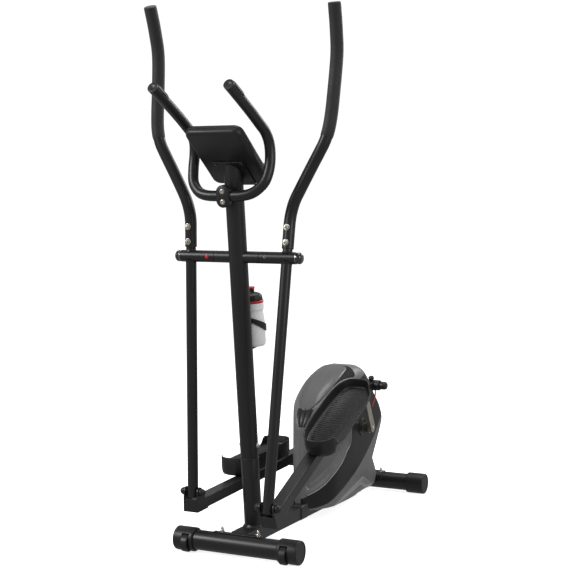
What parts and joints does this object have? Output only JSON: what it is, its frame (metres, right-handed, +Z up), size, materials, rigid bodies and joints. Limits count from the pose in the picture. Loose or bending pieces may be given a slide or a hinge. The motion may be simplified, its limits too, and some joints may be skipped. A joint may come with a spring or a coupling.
{
  "type": "elliptical trainer",
  "caption": "Front-mast elliptical trainer with swinging arms, pedal bars driven by a rear crank in a split shroud, fixed handlebar, console and bottle.",
  "frame": {"origin": "centre of the machine's bounding box at floor level", "axes": "+Z up; +Y towards the crank and the user's back, so the user faces -Y; +X towards the user's left"},
  "size_m": [0.5737, 1.3378, 1.6261],
  "materials": {
    "black_paint": "satin black powder coat",
    "black_plastic": "satin black moulded plastic",
    "pedal_plastic": "matt black moulded plastic with a ribbed tread",
    "foam": "matt black foam rubber sleeve",
    "grey_plastic": "semi-gloss grey moulding with a black band",
    "top_plastic": "glossy dark silver moulding",
    "crank_nickel": "nickel-plated steel",
    "steel": "bare machined steel",
    "sensor_plate": "dark plated contact plate",
    "rubber": "black rubber",
    "bottle_plastic": "translucent white plastic with a red ring",
    "red_plastic": "red moulded plastic",
    "lcd_glass": "clear display window over a grey-green screen",
    "button_plastic": "dark grey buttons"
  },
  "bodies": {
    "frame": {"main_rail": "black_paint", "mast_socket": "black_paint", "mast_post": "black_paint", "crossbar_shaft": "black_paint", "front_stabiliser": "black_paint", "rear_stabiliser": "black_paint", "front_saddle": "black_paint", "rear_saddle": "black_paint", "fixed_handlebar": "black_paint", "console_bracket": "black_paint", "handlebar_clamp": "black_plastic", "console_shell": "black_plastic", "console_face": "black_plastic", "bottle_cage": "black_plastic", "front_cap_left": "black_plastic", "front_cap_right": "black_plastic", "rear_cap_left": "black_plastic", "rear_cap_right": "black_plastic", "pivot_cap_left": "black_plastic", "pivot_cap_right": "black_plastic", "shroud_left": "grey_plastic", "shroud_right": "grey_plastic", "top_cover": "top_plastic", "mast_bolt": "steel", "flywheel_axle": "steel", "wheel_axle_left": "steel", "wheel_axle_right": "steel", "pulse_sensor_left": "sensor_plate", "pulse_sensor_right": "sensor_plate", "drive_belt": "rubber", "console_lens": "lcd_glass", "tablet_ledge": "button_plastic"},
    "crank": {"crank_axle": "steel", "crank_arm_left": "crank_nickel", "crank_arm_right": "crank_nickel", "crank_pulley": "black_plastic"},
    "flywheel": {"flywheel": "steel"},
    "arm_left": {"lower_arm_left": "black_paint", "upper_arm_left": "black_paint", "arm_grip_left": "foam"},
    "arm_right": {"lower_arm_right": "black_paint", "upper_arm_right": "black_paint", "arm_grip_right": "foam"},
    "bar_left": {"pedal_bar_left": "black_paint", "pedal_left": "pedal_plastic", "clevis_pin_left": "black_plastic", "crank_pin_left": "black_plastic"},
    "bar_right": {"pedal_bar_right": "black_paint", "pedal_right": "pedal_plastic", "clevis_pin_right": "black_plastic", "crank_pin_right": "black_plastic"},
    "wheel_left": {"transport_wheel_left": "black_plastic"},
    "wheel_right": {"transport_wheel_right": "black_plastic"},
    "bottle": {"bottle_body": "bottle_plastic", "bottle_cap": "black_plastic"},
    "nozzle": {"bottle_nozzle": "red_plastic"},
    "mode_button": {"mode_button": "button_plastic"},
    "set_button": {"set_button": "button_plastic"},
    "reset_button": {"reset_button": "button_plastic"},
    "magnet": {"magnet_bracket": "steel"}
  },
  "joints": [
    {"name": "crank_spin", "type": "hinge", "parent": "frame", "child": "crank", "pos_m": [0, 0.3542, 0.276], "axis": [1, 0, 0], "continuous": true},
    {"name": "flywheel_spin", "type": "hinge", "parent": "frame", "child": "flywheel", "pos_m": [0, 0.1762, 0.21], "axis": [1, 0, 0], "continuous": true},
    {"name": "arm_swing_left", "type": "hinge", "parent": "frame", "child": "arm_left", "pos_m": [0, -0.3895, 0.8868], "axis": [1, 0, 0], "range_deg": [-8.28, 18.45]},
    {"name": "arm_swing_right", "type": "hinge", "parent": "frame", "child": "arm_right", "pos_m": [0, -0.3895, 0.8868], "axis": [1, 0, 0], "range_deg": [-18.45, 8.28]},
    {"name": "bar_pivot_left", "type": "hinge", "parent": "arm_left", "child": "bar_left", "pos_m": [0, -0.51032, 0.18807], "axis": [1, 0, 0], "range_deg": [-18.45, 8.28]},
    {"name": "bar_pivot_right", "type": "hinge", "parent": "arm_right", "child": "bar_right", "pos_m": [0, -0.38505, 0.17771], "axis": [1, 0, 0], "range_deg": [-8.28, 18.45]},
    {"name": "transport_wheel_spin_left", "type": "hinge", "parent": "frame", "child": "wheel_left", "pos_m": [0, -0.4138, 0.029], "axis": [1, 0, 0], "continuous": true},
    {"name": "transport_wheel_spin_right", "type": "hinge", "parent": "frame", "child": "wheel_right", "pos_m": [0, -0.4138, 0.029], "axis": [1, 0, 0], "continuous": true},
    {"name": "bottle_lift", "type": "slide", "parent": "frame", "child": "bottle", "axis": [0, -0.115, 0.9934], "range_m": [0, 0.15]},
    {"name": "nozzle_pull", "type": "slide", "parent": "bottle", "child": "nozzle", "axis": [0, -0.115, 0.9934], "range_m": [0, 0.006]},
    {"name": "mode_button_press", "type": "slide", "parent": "frame", "child": "mode_button", "axis": [0, -0.6032, -0.7976], "range_m": [0, 0.0015], "stiffness_N_per_m": 400, "springref_m": -0.001},
    {"name": "set_button_press", "type": "slide", "parent": "frame", "child": "set_button", "axis": [0, -0.6032, -0.7976], "range_m": [0, 0.0015], "stiffness_N_per_m": 400, "springref_m": -0.001},
    {"name": "reset_button_press", "type": "slide", "parent": "frame", "child": "reset_button", "axis": [0, -0.6032, -0.7976], "range_m": [0, 0.0015], "stiffness_N_per_m": 400, "springref_m": -0.001},
    {"name": "magnet_swing", "type": "hinge", "parent": "frame", "child": "magnet", "pos_m": [0, 0.20886, 0.29974], "axis": [1, 0, 0], "range_deg": [-6, 0]}
  ],
  "couplings": [
    {"joint": "flywheel_spin", "follows": "crank_spin", "ratio": 5},
    {"joint": "arm_swing_right", "follows": "arm_swing_left", "ratio": -1},
    {"joint": "bar_pivot_left", "follows": "arm_swing_left", "ratio": -1},
    {"joint": "bar_pivot_right", "follows": "arm_swing_left", "ratio": 1}
  ]
}
